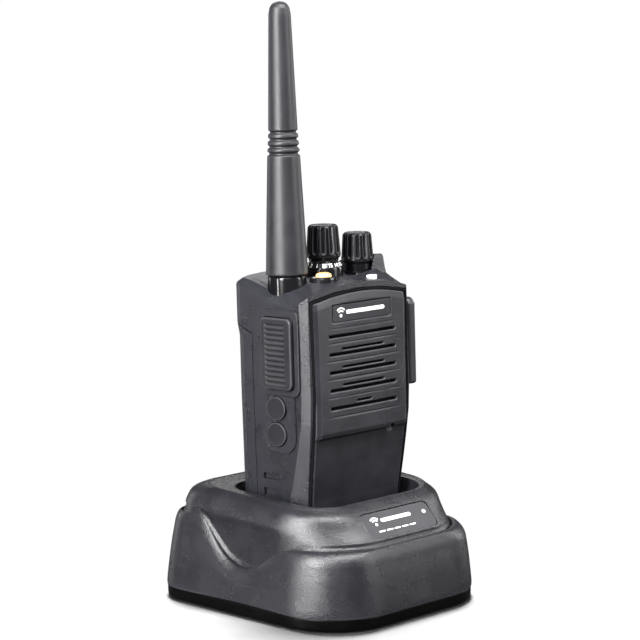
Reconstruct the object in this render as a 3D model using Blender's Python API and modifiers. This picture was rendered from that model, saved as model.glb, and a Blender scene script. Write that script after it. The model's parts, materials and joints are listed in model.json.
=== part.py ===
"""A hand-held two-way radio standing in its desktop charging cradle."""

import math

import bmesh
import bpy
from mathutils import Matrix, Vector

# ---------------------------------------------------------------- driving sizes, mm
LEAN = math.radians(2.2)          # the radio leans back by this much in its pocket
RADIO_FOOT = (0.0, 0.2, 16.4)     # bottom centre of the radio in the docked position

SEAM_Y = 9.5                      # side joint between the chassis and the battery
BACK_Y = 20.4
SHOULDER_BACK_Y = 21.5
SIDE_X = 29.8                     # the side wall where the keys sit

# z, front face y, front corner x, chamfer end x, chamfer end y, side x, back y
BODY_SECTIONS = (
    (0.0, -13.8, 23.6, 26.9, -5.7, 28.0, 20.2),
    (1.5, -15.0, 25.2, 28.5, -6.5, 28.9, BACK_Y),
    (15.0, -16.0, 25.9, 29.1, -7.5, 29.1, BACK_Y),
    (28.0, -17.2, 26.9, 29.4, -9.5, 29.3, BACK_Y),
    (40.0, -18.9, 27.7, 29.6, -12.4, 29.5, BACK_Y),
    (50.0, -20.3, 28.2, 29.7, -15.0, 29.6, BACK_Y),
    (60.0, -21.6, 28.5, 29.8, -17.3, 29.7, BACK_Y),
    (70.0, -22.1, 28.5, SIDE_X, -17.7, SIDE_X, BACK_Y),
    (94.0, -21.9, 28.5, SIDE_X, -17.7, SIDE_X, BACK_Y),
    (99.0, -21.9, 28.5, 29.9, -17.7, 29.9, SHOULDER_BACK_Y),
    (125.0, -21.9, 28.3, 29.9, -17.8, 29.9, SHOULDER_BACK_Y),
)

# top surface heights: one row for each y, one column for each distance from the middle
TOP_X = (0.0, 8.0, 16.0, 24.0, 26.5, 29.9, 32.0)
TOP_ROWS = (
    (-27.0, (115.0, 114.6, 113.7, 112.1, 111.4, 110.2, 109.0)),
    (-21.9, (115.2, 114.8, 113.9, 112.3, 111.6, 110.4, 109.2)),
    (-19.5, (115.6, 115.2, 114.3, 112.6, 111.6, 109.2, 108.0)),
    (-12.5, (116.2, 116.0, 115.1, 112.7, 111.4, 106.1, 104.4)),
    (-5.0, (116.2, 116.0, 115.3, 112.9, 111.8, 107.7, 106.0)),
    (4.0, (116.4, 116.2, 115.9, 114.6, 113.6, 110.4, 109.0)),
    (13.0, (117.6, 117.5, 117.3, 116.8, 116.2, 113.4, 112.2)),
    (17.6, (118.4, 118.3, 118.2, 117.6, 117.0, 114.6, 113.4)),
    (20.6, (117.2, 117.1, 116.9, 116.2, 115.4, 112.8, 111.8)),
    (25.0, (112.5, 112.4, 112.2, 111.5, 110.7, 108.8, 107.8)),
)

# z, face y, half width, arch height of the front panel
PANEL_SECTIONS = (
    (3.0, -15.6, 23.4, 0.0),
    (15.0, -16.5, 24.3, 0.0),
    (28.0, -17.7, 25.2, 0.0),
    (40.0, -19.4, 25.8, 0.0),
    (50.0, -20.8, 26.1, 0.0),
    (53.4, -21.3, 26.2, 0.0),
    (54.4, -23.2, 26.2, 0.0),
    (56.0, -23.6, 26.2, 0.0),
    (70.0, -23.8, 26.1, 0.0),
    (85.0, -23.7, 26.2, 0.6),
    (97.0, -23.6, 26.4, 1.8),
    (105.5, -23.5, 26.6, 2.9),
    (108.2, -23.1, 26.5, 3.1),
)
# x, crest y, crest z, foot z of the brow that rises from the middle of the front edge to the guard
BROW = (
    (1.0, -13.4, 115.9, 115.0),
    (8.0, -13.1, 116.6, 114.8),
    (14.0, -12.2, 117.0, 114.1),
    (19.0, -11.2, 117.4, 113.1),
    (22.5, -10.4, 117.8, 112.3),
    (25.5, -9.9, 116.5, 111.2),
    (27.5, -9.6, 113.8, 110.3),
)
PANEL_DEPTH = 2.2                 # the panel and its bezel sit this deep in the chassis front

SLOT_ROWS = (94.6, 87.35, 80.1, 72.9, 65.7)
SLOT_HALF_WIDTH = 19.1
SHORT_SLOTS = ((89.25, 12.0), (82.0, 12.0), (74.8, 12.0), (67.6, 4.3))

ANTENNA = (-19.9, -1.4)
CHANNEL = (1.0, -1.4)
VOLUME = (20.3, -1.8)
EMERGENCY = (-9.0, -11.2)
LAMP = (13.3, -16.4)

# cradle plans: half width, front y, rear y, front corner radius, rear corner radius
BASE_PLAN = (49.9, -51.65, 51.65, 27.0, 16.5)
GROOVE_PLAN = (44.3, -45.0, 45.7, 30.0, 14.0)
PLAN_TAPER = 0.001                # the plans widen by this share for each mm towards the rear
# each upper level: mid height, slope along y, plan
UPPER_LEVELS = (
    (34.2, 0.03, (43.7, -44.3, 45.1, 30.0, 14.0)),
    (38.7, 0.033, (43.1, -39.8, 44.8, 28.0, 14.0)),
    (43.2, 0.035, (41.3, -35.3, 43.1, 22.0, 14.0)),
    (45.4, 0.035, (40.4, -32.2, 40.5, 21.0, 14.0)),
    (46.3, 0.035, (39.2, -30.2, 37.0, 20.0, 13.0)),
    (46.5, 0.035, (37.8, -29.0, 34.0, 18.0, 12.0)),
    (46.4, 0.035, (34.0, -25.8, 25.8, 13.5, 11.0)),
    (45.4, 0.035, (33.3, -25.1, 25.1, 12.8, 10.4)),
)
POCKET_FLOOR_PLAN = (32.6, -22.6, 24.2, 10.0, 9.0)
# skirt top height along the side, from the front to the rear
SWOOP = (
    (-60.0, 31.0), (-40.0, 31.0), (-34.0, 30.8), (-29.5, 30.0), (-24.8, 28.2), (-18.3, 24.6), (-12.0, 21.4),
    (-7.0, 19.9), (-2.0, 19.4), (3.5, 19.9), (8.5, 21.5), (12.4, 23.7), (17.6, 28.0), (21.8, 32.0),
    (25.4, 35.2), (29.0, 36.7), (34.0, 36.9), (60.0, 35.5),
)
PIN_XY = (8.0, 15.2)
FOOT_XY = 34.0
SCREW_XY = (44.0, 24.0)
INLET = (-24.0, 14.5)             # x and z of the power inlet in the rear wall

MM = 0.001

# ---------------------------------------------------------------- scene helpers
for old in list(bpy.data.objects):
    bpy.data.objects.remove(old)

part_collection = bpy.data.collections.new("two_way_radio")
bpy.context.scene.collection.children.link(part_collection)
cutter_collection = bpy.data.collections.new("cutters")
cutter_collection.hide_render = True
bpy.context.scene.collection.children.link(cutter_collection)

PALETTE = {
    "grained_plastic": ((0.045, 0.045, 0.05, 1.0), 0.0, 0.55),
    "smooth_plastic": ((0.04, 0.04, 0.045, 1.0), 0.0, 0.4),
    "gloss_plastic": ((0.01, 0.01, 0.012, 1.0), 0.0, 0.15),
    "soft_rubber": ((0.03, 0.03, 0.033, 1.0), 0.0, 0.65),
    "orange_plastic": ((0.8, 0.42, 0.12, 1.0), 0.0, 0.35),
    "white_lens": ((0.9, 0.9, 0.88, 1.0), 0.0, 0.2),
    "metal": ((0.6, 0.58, 0.55, 1.0), 1.0, 0.3),
    "gold": ((0.8, 0.6, 0.25, 1.0), 1.0, 0.3),
    "board_green": ((0.02, 0.16, 0.07, 1.0), 0.0, 0.45),
    "cloth": ((0.02, 0.02, 0.02, 1.0), 0.0, 0.9),
}


def make_material(name, kind):
    colour, metallic, roughness = PALETTE[kind]
    material = bpy.data.materials.new(name)
    material.use_nodes = True
    shader = material.node_tree.nodes["Principled BSDF"]
    shader.inputs["Base Color"].default_value = colour
    shader.inputs["Metallic"].default_value = metallic
    shader.inputs["Roughness"].default_value = roughness
    return material


def finish_mesh(name, work, kind, parent):
    """Turns a bmesh in mm into an object. Without a kind it is a cutter."""
    bmesh.ops.triangulate(work, faces=[f for f in work.faces if len(f.verts) > 4])
    bmesh.ops.recalc_face_normals(work, faces=work.faces)
    bmesh.ops.scale(work, vec=(MM, MM, MM), verts=work.verts)
    mesh = bpy.data.meshes.new(name)
    work.to_mesh(mesh)
    work.free()
    return place(bpy.data.objects.new(name, mesh), kind, parent)


def smooth_round(obj):
    """Shades a round piece smooth, with its rims left sharp."""
    obj.data.shade_smooth()
    obj.data.set_sharp_from_angle(angle=math.radians(35))


def place(obj, kind, parent):
    if kind is None:
        cutter_collection.objects.link(obj)
        obj.hide_render = True
        obj.display_type = "WIRE"
    else:
        part_collection.objects.link(obj)
        obj.data.materials.clear()
        obj.data.materials.append(make_material(obj.name + "_material", kind))
    obj.parent = parent
    return obj


def loft(name, rings, kind=None, parent=None):
    """A closed skin through rings of equal point count, capped at both ends."""
    work = bmesh.new()
    count = len(rings[0])
    levels = [[work.verts.new(p) for p in ring] for ring in rings]
    work.faces.new(levels[0])
    work.faces.new(levels[-1])
    for low, high in zip(levels, levels[1:]):
        for i in range(count):
            j = (i + 1) % count
            work.faces.new((low[i], low[j], high[j], high[i]))
    return finish_mesh(name, work, kind, parent)


def add_cube(work, lo, hi):
    size = [b - a for a, b in zip(lo, hi)]
    centre = [(a + b) / 2 for a, b in zip(lo, hi)]
    made = bmesh.ops.create_cube(work, size=1.0)
    bmesh.ops.scale(work, vec=size, verts=made["verts"])
    bmesh.ops.translate(work, vec=centre, verts=made["verts"])


def box(name, lo, hi, kind=None, parent=None, bevel=0.0, segments=2):
    work = bmesh.new()
    add_cube(work, lo, hi)
    obj = finish_mesh(name, work, kind, parent)
    if bevel:
        add_bevel(obj, bevel, segments)
    return obj


def boxes(name, spans, parent=None):
    """Several separate boxes as one cutter."""
    work = bmesh.new()
    for lo, hi in spans:
        add_cube(work, lo, hi)
    return finish_mesh(name, work, None, parent)


def add_bevel(obj, width, segments=2, angle=40):
    bevel = obj.modifiers.new("Edges", "BEVEL")
    bevel.width = width * MM
    bevel.segments = segments
    bevel.limit_method = "ANGLE"
    bevel.angle_limit = math.radians(angle)
    return bevel


def stand_along(axis):
    """The turn that takes +Z to the named axis and keeps the first centre value first."""
    if axis == "Y":
        return Matrix.Rotation(math.radians(-90), 3, "X") @ Matrix.Scale(-1, 3, (0, 1, 0))
    if axis == "X":
        return Matrix(((0, 0, 1), (1, 0, 0), (0, 1, 0)))
    return Matrix.Identity(3)


def cylinder(name, centre, radius, span, axis="Z", kind=None, parent=None, count=24, squash=1.0, dome=0.0):
    """A cylinder about a line parallel to an axis. span is its two ends along that axis."""
    work = bmesh.new()
    low, high = min(span), max(span)
    made = bmesh.ops.create_cone(work, cap_ends=True, segments=count, radius1=radius, radius2=radius,
                                 depth=high - low)
    bmesh.ops.scale(work, vec=(1.0, squash, 1.0), verts=made["verts"])
    bmesh.ops.translate(work, vec=(centre[0], centre[1], (low + high) / 2), verts=made["verts"])
    bmesh.ops.transform(work, matrix=stand_along(axis).to_4x4(), verts=made["verts"])
    obj = finish_mesh(name, work, kind, parent)
    smooth_round(obj)
    if dome:
        add_bevel(obj, dome, 3)
    return obj


def prism(name, outline, span, axis="X", kind=None, parent=None):
    """An outline in the plane across an axis, extruded over span."""
    work = bmesh.new()
    face = work.faces.new([work.verts.new((a, b, span[0])) for a, b in outline])
    grown = bmesh.ops.extrude_face_region(work, geom=[face])
    moved = [item for item in grown["geom"] if isinstance(item, bmesh.types.BMVert)]
    bmesh.ops.translate(work, vec=(0.0, 0.0, span[1] - span[0]), verts=moved)
    bmesh.ops.transform(work, matrix=stand_along(axis).to_4x4(), verts=work.verts)
    return finish_mesh(name, work, kind, parent)


def turned(name, profile, kind, parent=None, steps=28):
    """A turned solid. The profile runs down its outer side, from the axis and back to it."""
    mesh = bpy.data.meshes.new(name)
    points = [Vector((r, 0.0, z)) * MM for r, z in profile]
    edges = [(i, i + 1) for i in range(len(points) - 1)]
    mesh.from_pydata(points, edges, [])
    obj = place(bpy.data.objects.new(name, mesh), kind, parent)
    screw = obj.modifiers.new("Turn", "SCREW")
    screw.axis = "Z"
    screw.angle = 2 * math.pi
    screw.steps = steps
    screw.render_steps = steps
    screw.use_smooth_shade = True
    screw.use_merge_vertices = True
    screw.merge_threshold = 0.00001
    return obj


def combine(obj, other, operation):
    modifier = obj.modifiers.new(operation.title() + "_" + other.name, "BOOLEAN")
    modifier.operation = operation
    modifier.solver = "EXACT"
    modifier.object = other
    return obj


def cut(obj, *others):
    for other in others:
        combine(obj, other, "DIFFERENCE")


def join(obj, *others):
    for other in others:
        combine(obj, other, "UNION")


def rounded_rect(x0, x1, y0, y1, radius, count=5):
    points = []
    corners = ((x1 - radius, y1 - radius, 0), (x0 + radius, y1 - radius, 90),
               (x0 + radius, y0 + radius, 180), (x1 - radius, y0 + radius, 270))
    for cx, cy, start in corners:
        for i in range(count):
            a = math.radians(start + 90 * i / (count - 1))
            points.append((cx + radius * math.cos(a), cy + radius * math.sin(a)))
    return points


def empty(name, location, rotation=(0.0, 0.0, 0.0), parent=None):
    obj = bpy.data.objects.new(name, None)
    part_collection.objects.link(obj)
    obj.location = Vector(location) * MM
    obj.rotation_euler = rotation
    obj.parent = parent
    return obj


# ---------------------------------------------------------------- cradle
def blend(table, at):
    for (a, va), (b, vb) in zip(table, table[1:]):
        if a <= at <= b:
            t = (at - a) / (b - a)
            t = t * t * (3 - 2 * t) if abs(vb - va) > 3.0 else t
            return va + (vb - va) * t
    return table[-1][1]


def cradle_ring(plan, count=7, side=9, flat=4):
    """Points round one plan, front centre first, the same count for every plan."""
    half, front, rear, r_front, r_rear = plan
    right = [(x, front) for x in [(half - r_front) * i / flat for i in range(flat)]]
    for i in range(count):
        a = math.radians(-90 + 90 * i / (count - 1))
        right.append((half - r_front + r_front * math.cos(a), front + r_front + r_front * math.sin(a)))
    low = front + r_front
    high = rear - r_rear
    right += [(half, low + (high - low) * (i + 1) / (side + 1)) for i in range(side)]
    for i in range(count - 2):
        a = math.radians(90 * i / (count - 3))
        right.append((half - r_rear + r_rear * math.cos(a), rear - r_rear + r_rear * math.sin(a)))
    right += [((half - r_rear) * (1 - i / flat), rear) for i in range(1, flat)]
    right = [(x * (1.0 + PLAN_TAPER * y), y) for x, y in right]
    left = [(-x, y) for x, y in reversed(right[1:])]
    return right + [(0.0, rear)] + left


def shrink(plan, by):
    half, front, rear, r_front, r_rear = plan
    return (half - by, front + by, rear - by, r_front - by, r_rear - by)


def skirt_ring(inset, drop):
    """A skirt ring that follows the dipping shoulder, this far below it."""
    ring = []
    base = cradle_ring(BASE_PLAN)
    for i, (x, y) in enumerate(base):
        top = blend(SWOOP, y) - drop
        by = inset + 0.13 * (top - 6.0)
        px, py = cradle_ring(shrink(BASE_PLAN, by))[i]
        ring.append((px, py, top))
    return ring


def build_housing():
    rings = [[(x, y, 6.0) for x, y in cradle_ring(BASE_PLAN)]]
    base = cradle_ring(BASE_PLAN)
    middle = []
    for i, (x, y) in enumerate(base):
        z = 6.0 + 0.5 * (blend(SWOOP, y) - 6.0)
        px, py = cradle_ring(shrink(BASE_PLAN, 0.11 * (z - 6.0)))[i]
        middle.append((px, py, z))
    rings.append(middle)
    rings += [skirt_ring(0.0, 6.2), skirt_ring(0.5, 3.2), skirt_ring(1.2, 1.3), skirt_ring(2.0, 0.3)]
    groove = []
    for (x, y), (bx, by) in zip(cradle_ring(GROOVE_PLAN), base):
        groove.append((x, y, blend(SWOOP, by) - 1.3))
    rings.append(groove)
    for height, slope, plan in UPPER_LEVELS:
        rings.append([(x, y, height + slope * y) for x, y in cradle_ring(plan)])
    floor = RADIO_FOOT[2] - 0.3
    rings.append([(x, y, floor - math.tan(LEAN) * y) for x, y in cradle_ring(POCKET_FLOOR_PLAN)])
    housing = loft("charger_housing", rings, "grained_plastic")
    bay = prism("charger_bay", rounded_rect(-38.0, 38.0, -38.0, 38.0, 10.0), (4.0, 12.6), "Z")
    rear = box("charger_rear_bay", (-31.0, 28.5, 4.0), (31.0, 38.0, 40.0))
    front = box("charger_front_bay", (-22.0, -37.0, 4.0), (22.0, -28.5, 30.0))
    inlet = cylinder("inlet_hole", INLET, 4.3, (36.0, 56.0), "Y", count=20)
    cut(housing, bay, rear, front, inlet)
    for side in (-1, 1):
        pin = cylinder("pin_hole", (side * PIN_XY[0], PIN_XY[1]), 1.6, (10.0, 20.0), count=16)
        cut(housing, pin)
        for end in (-1, 1):
            hole = cylinder("screw_hole", (side * SCREW_XY[0], end * SCREW_XY[1]), 1.5, (4.0, 13.0), count=12)
            cut(housing, hole)
    return housing


def label_frame():
    """Centre and tilt of the sloping front face that carries the label."""
    low = Vector((0.0, -44.0, 34.2 - 0.03 * 44.0))
    high = Vector((0.0, -35.3, 43.2 - 0.035 * 35.3))
    along = high - low
    centre = (low + high) / 2 + Vector((1.0, 0.35, 0.5))
    return empty("label_axis", centre, (math.atan2(along.z, along.y), 0.0, 0.0))


def build_cradle():
    housing = build_housing()
    axis = label_frame()
    recess = prism("label_recess", rounded_rect(-19.6, 19.6, -6.1, 6.1, 2.6), (-1.6, 4.0), "Z", parent=axis)
    light_hole = cylinder("light_hole", (15.6, 1.2), 1.6, (-6.0, 3.0), parent=axis, count=16)
    cut(housing, recess, light_hole)
    label = prism("charger_label", rounded_rect(-19.25, 19.25, -5.75, 5.75, 2.3), (-1.25, -0.35), "Z",
                  "smooth_plastic", axis)
    cut(label, cylinder("label_light_hole", (15.6, 1.2), 1.6, (-2.0, 2.0), parent=axis, count=16))
    cylinder("charge_light", (15.6, 1.2), 1.25, (-5.0, 0.0), "Z", "white_lens", axis, count=16, dome=0.4)

    tray_rings = []
    for inset, z in ((1.1, 0.4), (0.6, 0.8), (0.35, 1.8), (0.25, 5.7)):
        tray_rings.append([(x, y, z) for x, y in cradle_ring(shrink(BASE_PLAN, inset))])
    tray = loft("charger_base", tray_rings, "gloss_plastic")
    cut(tray, prism("tray_bay", rounded_rect(-37.5, 37.5, -37.5, 37.5, 9.5), (2.8, 8.0), "Z"))
    for i, (sx, sy) in enumerate(((-1, -1), (1, -1), (-1, 1), (1, 1)), 1):
        spot = (sx * FOOT_XY, sy * FOOT_XY)
        cut(tray, cylinder("foot_recess", spot, 5.3, (0.0, 1.7), count=20))
        cylinder(f"charger_foot_{i}", spot, 5.0, (0.0, 1.4), "Z", "soft_rubber", count=20)
        hole = (sx * SCREW_XY[0], sy * SCREW_XY[1])
        cut(tray, cylinder("screw_way", hole, 1.5, (0.0, 8.0), count=12))
        cut(tray, cylinder("screw_seat", hole, 3.0, (0.0, 2.9), count=16))
        head = [(0.0, 11.0), (1.15, 11.0), (1.15, 2.6), (2.6, 2.6), (2.6, 1.5), (2.2, 1.2), (0.0, 1.2)]
        screw = turned(f"charger_screw_{i}", head, "metal", steps=12)
        screw.location = (hole[0] * MM, hole[1] * MM, 0.0)

    board = box("charger_board", (-34.0, -26.0, 7.6), (34.0, 26.0, 9.2), "board_green")
    join(board, box("charger_coil", (-22.0, -18.0, 8.8), (-8.0, -6.0, 12.0)))
    join(board, box("charger_chip", (4.0, -16.0, 8.8), (14.0, -8.0, 10.6)))
    for side, word in ((-1, "left"), (1, "right")):
        pin = [(0.0, 15.35), (0.8, 15.2), (1.25, 14.6), (1.25, 11.2), (2.0, 11.2), (2.0, 9.5), (0.0, 9.5)]
        obj = turned(f"charger_pin_{word}", pin, "gold", steps=16)
        obj.location = (side * PIN_XY[0] * MM, PIN_XY[1] * MM, 0.0)
    build_inlet()


def build_inlet():
    x, z = INLET
    inlet = cylinder("dc_inlet", (x, z), 3.95, (39.5, 50.0), "Y", "gloss_plastic", count=20)
    body = box("inlet_body", (x - 5.0, 30.0, z - 5.0), (x + 5.0, 37.6, z + 5.0))
    neck = cylinder("inlet_neck", (x, z), 3.95, (37.0, 40.0), "Y", count=20)
    join(inlet, body, neck)
    cut(inlet, cylinder("inlet_bore", (x, z), 2.9, (41.0, 52.0), "Y", count=20))
    join(inlet, cylinder("inlet_pin", (x, z), 0.95, (39.8, 48.6), "Y", count=10))


# ---------------------------------------------------------------- radio body
def body_ring(section):
    z, front, corner, chamfer_x, chamfer_y, side, back = section
    right = [
        (0.0, front), (corner * 0.5, front), (corner - 0.6, front), (corner, front + 0.4),
        (chamfer_x, chamfer_y), (side, 1.0), (side, SEAM_Y), (side - 0.1, back - 5.4),
        (side - 1.1, back - 2.3), (side - 3.2, back - 0.5), (side - 6.0, back), (12.0, back),
    ]
    left = [(-x, y) for x, y in reversed(right[1:])]
    return [(x, y, z) for x, y in right + [(0.0, back)] + left]


def build_envelope(name, kind, parent):
    return loft(name, [body_ring(s) for s in BODY_SECTIONS], kind, parent)


def top_block(name, parent):
    """A block below the shaped top surface, from stations along y."""
    columns = [-x for x in reversed(TOP_X[1:])] + list(TOP_X)
    rings = []
    for y, heights in TOP_ROWS:
        row = list(reversed(heights[1:])) + list(heights)
        ring = [(x, y, h) for x, h in zip(columns, row)]
        rings.append(ring + [(columns[-1], y, -5.0), (columns[0], y, -5.0)])
    return loft(name, rings, None, parent)


def panel_ring(section, grow, flat, back):
    z, face, half, arch = section
    half += grow
    edge = face + (0.5 if flat else 1.55)
    step = 0.5 if flat else 1.9
    across = (-half, -half, -half + step, -half * 0.62, -half * 0.3, 0.0,
              half * 0.3, half * 0.62, half - step, half, half)
    bulge = 0.0 if flat else 0.45
    depth = [back, edge] + [face + bulge * (x / half) ** 2 for x in across[2:9]] + [edge, back]
    ring = []
    for x, y in zip(across, depth):
        ring.append((x, y, z + arch * (1.0 - (x / half) ** 2)))
    ring += [(x, back, z + arch * (1.0 - (x / half) ** 2)) for x in (half * 0.5, 0.0, -half * 0.5)]
    return ring


def body_front(z):
    table = [(s[0], s[1]) for s in BODY_SECTIONS]
    for (a, va), (b, vb) in zip(table, table[1:]):
        if a <= z <= b:
            return va + (vb - va) * (z - a) / (b - a)
    return table[-1][1]


def panel_loft(name, grow, kind=None, parent=None, proud=None, depth=PANEL_DEPTH):
    """The panel outline grown by grow. With proud set, its face follows the chassis instead."""
    rings = []
    for z, face, half, arch in PANEL_SECTIONS:
        low = -grow if z < 10 else 0.0
        high = grow if z > 107 else 0.0
        back = body_front(z) + depth
        if proud is None:
            rings.append(panel_ring((z, face, half, arch), 0.0, z < 54.0, back))
        else:
            face = body_front(z) - proud
            rings.append(panel_ring((z + low + high, face, half, arch), grow, True, back))
    return loft(name, rings, kind, parent)


def build_chassis(radio):
    chassis = build_envelope("chassis", "grained_plastic", radio)
    combine(chassis, top_block("top_shape", radio), "INTERSECT")
    ear = [(-19.5, 110.8), (-12.4, 114.0), (-9.8, 115.3), (-9.0, 118.0), (-8.3, 121.8), (-7.4, 123.1),
           (4.0, 122.4), (10.0, 120.0), (14.0, 116.0), (14.0, 101.0), (-19.0, 101.0)]
    guard = prism("volume_guard", ear, (21.5, 29.2), "X", parent=radio)
    add_bevel(guard, 1.0, 2, 50)
    brow = [[(x, -19.6, 106.0), (x, -19.6, foot), (x, y, z), (x, y + 1.6, z - 0.3), (x, y + 2.0, 106.0)]
            for x, y, z, foot in BROW]
    join(chassis, guard, loft("brow", brow, None, radio))
    bay = [(SEAM_Y, -3.0), (34.0, -3.0), (34.0, 105.1), (SEAM_Y, 95.3)]
    cut(chassis, prism("battery_bay", bay, (-34.0, 34.0), "X", parent=radio))
    cut(chassis, panel_loft("panel_recess", 1.5, None, radio, proud=6.0, depth=2.5))
    cut(chassis, box("inner_cavity", (-24.6, -15.5, 6.0), (24.6, 7.4, 104.0), None, radio))
    cut(chassis, box("front_opening", (-22.0, -28.0, 9.0), (22.0, -14.0, 103.0), None, radio))
    knob_ways = (
        ("collar_way", ANTENNA, 8.1, 106.0), ("ring_way", CHANNEL, 7.9, 115.5),
        ("volume_way", VOLUME, 7.1, 115.6), ("bezel_way", EMERGENCY, 6.0, 114.6),
        ("button_way", EMERGENCY, 4.1, 110.0), ("channel_shaft_way", CHANNEL, 3.2, 100.0),
        ("volume_shaft_way", VOLUME, 3.2, 100.0),
    )
    for name, centre, radius, low in knob_ways:
        cut(chassis, cylinder(name, centre, radius, (low, 130.0), parent=radio, count=24))
    cut(chassis, cylinder("lamp_way", LAMP, 2.9, (111.0, 122.0), parent=radio, count=20, squash=0.72))
    for side in (-1, 1):
        seat = cylinder("chassis_screw_way", (side * 19.0, 86.0), 2.5, (5.0, 12.0), "Y", parent=radio, count=14)
        cut(chassis, seat)
    build_side_features(chassis, radio)
    cut(chassis, box("jack_way", (22.0, -9.0, 76.6), (33.0, 3.0, 93.4), None, radio))
    return chassis


def side_axis(name, z, radio):
    """A frame on the left wall: -X out of the wall, Y along it."""
    return empty(name, (-SIDE_X, -4.0, z), (0.0, 0.0, 0.0), radio)


def build_side_features(chassis, radio):
    talk = side_axis("ptt_axis", 88.2, radio)
    frame = prism("ptt_raised", rounded_rect(-13.8, 9.2, -17.0, 17.9, 3.6), (-1.1, 1.5), "X", parent=talk)
    add_bevel(frame, 0.7, 2, 50)
    join(chassis, frame)
    pad = side_axis("pad_axis", 63.0, radio)
    plate = prism("pad_raised", rounded_rect(-10.5, 8.2, -15.0, 13.0, 6.5), (-0.6, 1.5), "X", parent=pad)
    join(chassis, plate)
    cut(chassis, prism("ptt_way", rounded_rect(-11.45, 6.55, -14.75, 14.75, 2.9), (-8.0, 8.0), "X", parent=talk))
    for name, z in (("upper", 65.9), ("lower", 55.4)):
        spot = side_axis("side_button_" + name + "_axis", z, radio)
        cut(chassis, cylinder("way_" + name, (-0.3, 0.0), 5.6, (-8.0, 8.0), "X", parent=spot, squash=0.91))
    cut(chassis, box("recess_upper", (-33.0, -3.4, 36.3), (-28.1, 5.7, 38.8), None, radio))
    cut(chassis, box("recess_lower", (-33.0, -3.4, 29.4), (-27.9, 5.7, 32.7), None, radio))


def build_side_buttons(radio):
    talk = bpy.data.objects["ptt_axis"]
    key = prism("ptt_key", rounded_rect(-11.1, 6.2, -14.4, 14.4, 2.6), (-2.8, 3.0), "X", "soft_rubber", talk)
    add_bevel(key, 0.8, 2, 60)
    grooves = [((-4.2, -7.6, z - 0.45), (-2.3, 3.4, z + 0.45)) for z in [2.1 * i - 11.55 for i in range(12)]]
    cut(key, boxes("ptt_grooves", grooves, talk))
    for name in ("upper", "lower"):
        spot = bpy.data.objects["side_button_" + name + "_axis"]
        cylinder("side_button_" + name, (-0.3, 0.0), 5.25, (3.0, -1.5), "X", "soft_rubber", spot,
                 squash=0.91, dome=1.0)
    box("ptt_switch", (-24.2, -9.0, 84.0), (-21.6, 1.0, 97.0), "metal", radio, 0.3, 1)
    box("side_keypad", (-24.2, -10.0, 50.0), (-22.8, 3.0, 71.0), "soft_rubber", radio)


def build_front(radio):
    bezel = panel_loft("panel_bezel", 1.2, "gloss_plastic", radio, proud=0.3)
    cut(bezel, panel_loft("bezel_opening", 0.3, None, radio, proud=4.0, depth=5.0))
    panel = panel_loft("front_panel", 0.0, "smooth_plastic", radio)
    cut(panel, box("upper_hollow", (-22.5, -21.6, 57.0), (22.5, -10.0, 104.5), None, radio))
    slots = [((-SLOT_HALF_WIDTH, -26.0, z - 0.65), (SLOT_HALF_WIDTH, -20.5, z + 0.65)) for z in SLOT_ROWS]
    slots += [((-w, -26.0, z - 0.45), (w, -20.5, z + 0.45)) for z, w in SHORT_SLOTS]
    cut(panel, boxes("grille_slots", slots, radio))
    cut(panel, box("badge_recess", (-16.9, -26.0, 99.9), (16.9, -22.9, 107.3), None, radio))
    box("badge_plate", (-16.55, -23.35, 100.25), (16.55, -23.2, 106.95), "smooth_plastic", radio)
    notch = cylinder("mic_notch", (16.8, 53.6), 1.7, (-26.0, -21.0), "Y", parent=radio, count=14)
    cut(panel, notch)
    box("grille_cloth", (-21.0, -21.2, 61.0), (21.0, -20.7, 98.0), "cloth", radio)
    speaker = cylinder("speaker", (0.0, 80.0), 17.5, (-20.2, -16.4), "Y", "metal", radio, 28)
    join(speaker, cylinder("speaker_magnet", (0.0, 80.0), 9.0, (-17.0, -12.6), "Y", parent=radio, count=20))
    cylinder("microphone", (16.8, 59.1), 1.7, (-21.2, -18.4), "Y", "metal", radio, 16)


def build_inside(radio):
    board = box("main_board", (-20.5, -9.0, 9.0), (20.5, -7.4, 92.0), "board_green", radio)
    box("radio_shield", (-17.0, -12.0, 14.0), (17.0, -9.4, 54.0), "metal", radio, 0.4, 1)
    join(board, box("board_parts", (-14.0, -7.8, 20.0), (14.0, -5.8, 44.0), None, radio))
    jack = box("jack_block", (22.6, -8.6, 77.0), (28.4, 2.6, 93.0), "gloss_plastic", radio)
    cut(jack, cylinder("jack_hole_a", (-3.0, 89.0), 1.8, (24.5, 30.0), "X", parent=radio, count=16))
    cut(jack, cylinder("jack_hole_b", (-3.0, 81.0), 1.3, (24.5, 30.0), "X", parent=radio, count=16))
    for side, word in ((-1, "left"), (1, "right")):
        x = side * 19.0
        cylinder("chassis_screw_" + word, (x, 86.0), 2.15, (5.4, 9.1), "Y", "metal", radio, 14)
    cover_axis = empty("cover_axis", (31.2, 8.0, 88.4), (0.0, 0.0, 0.0), radio)
    outline = [(-29.0, -19.0), (0.6, -19.0), (0.6, 14.6), (-1.0, 17.0), (-27.2, 17.0), (-29.0, 14.6)]
    cover = prism("jack_cover", outline, (-1.0, 3.2), "X", "smooth_plastic", cover_axis)
    add_bevel(cover, 1.1, 2, 50)
    cut(cover, cylinder("cover_screw_seat", (-13.0, 0.0), 3.6, (1.9, 5.0), "X", parent=cover_axis, count=20))
    cylinder("cover_screw", (-13.0, 0.0), 3.2, (2.2, 3.8), "X", "metal", cover_axis, 20, dome=0.4)


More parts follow.
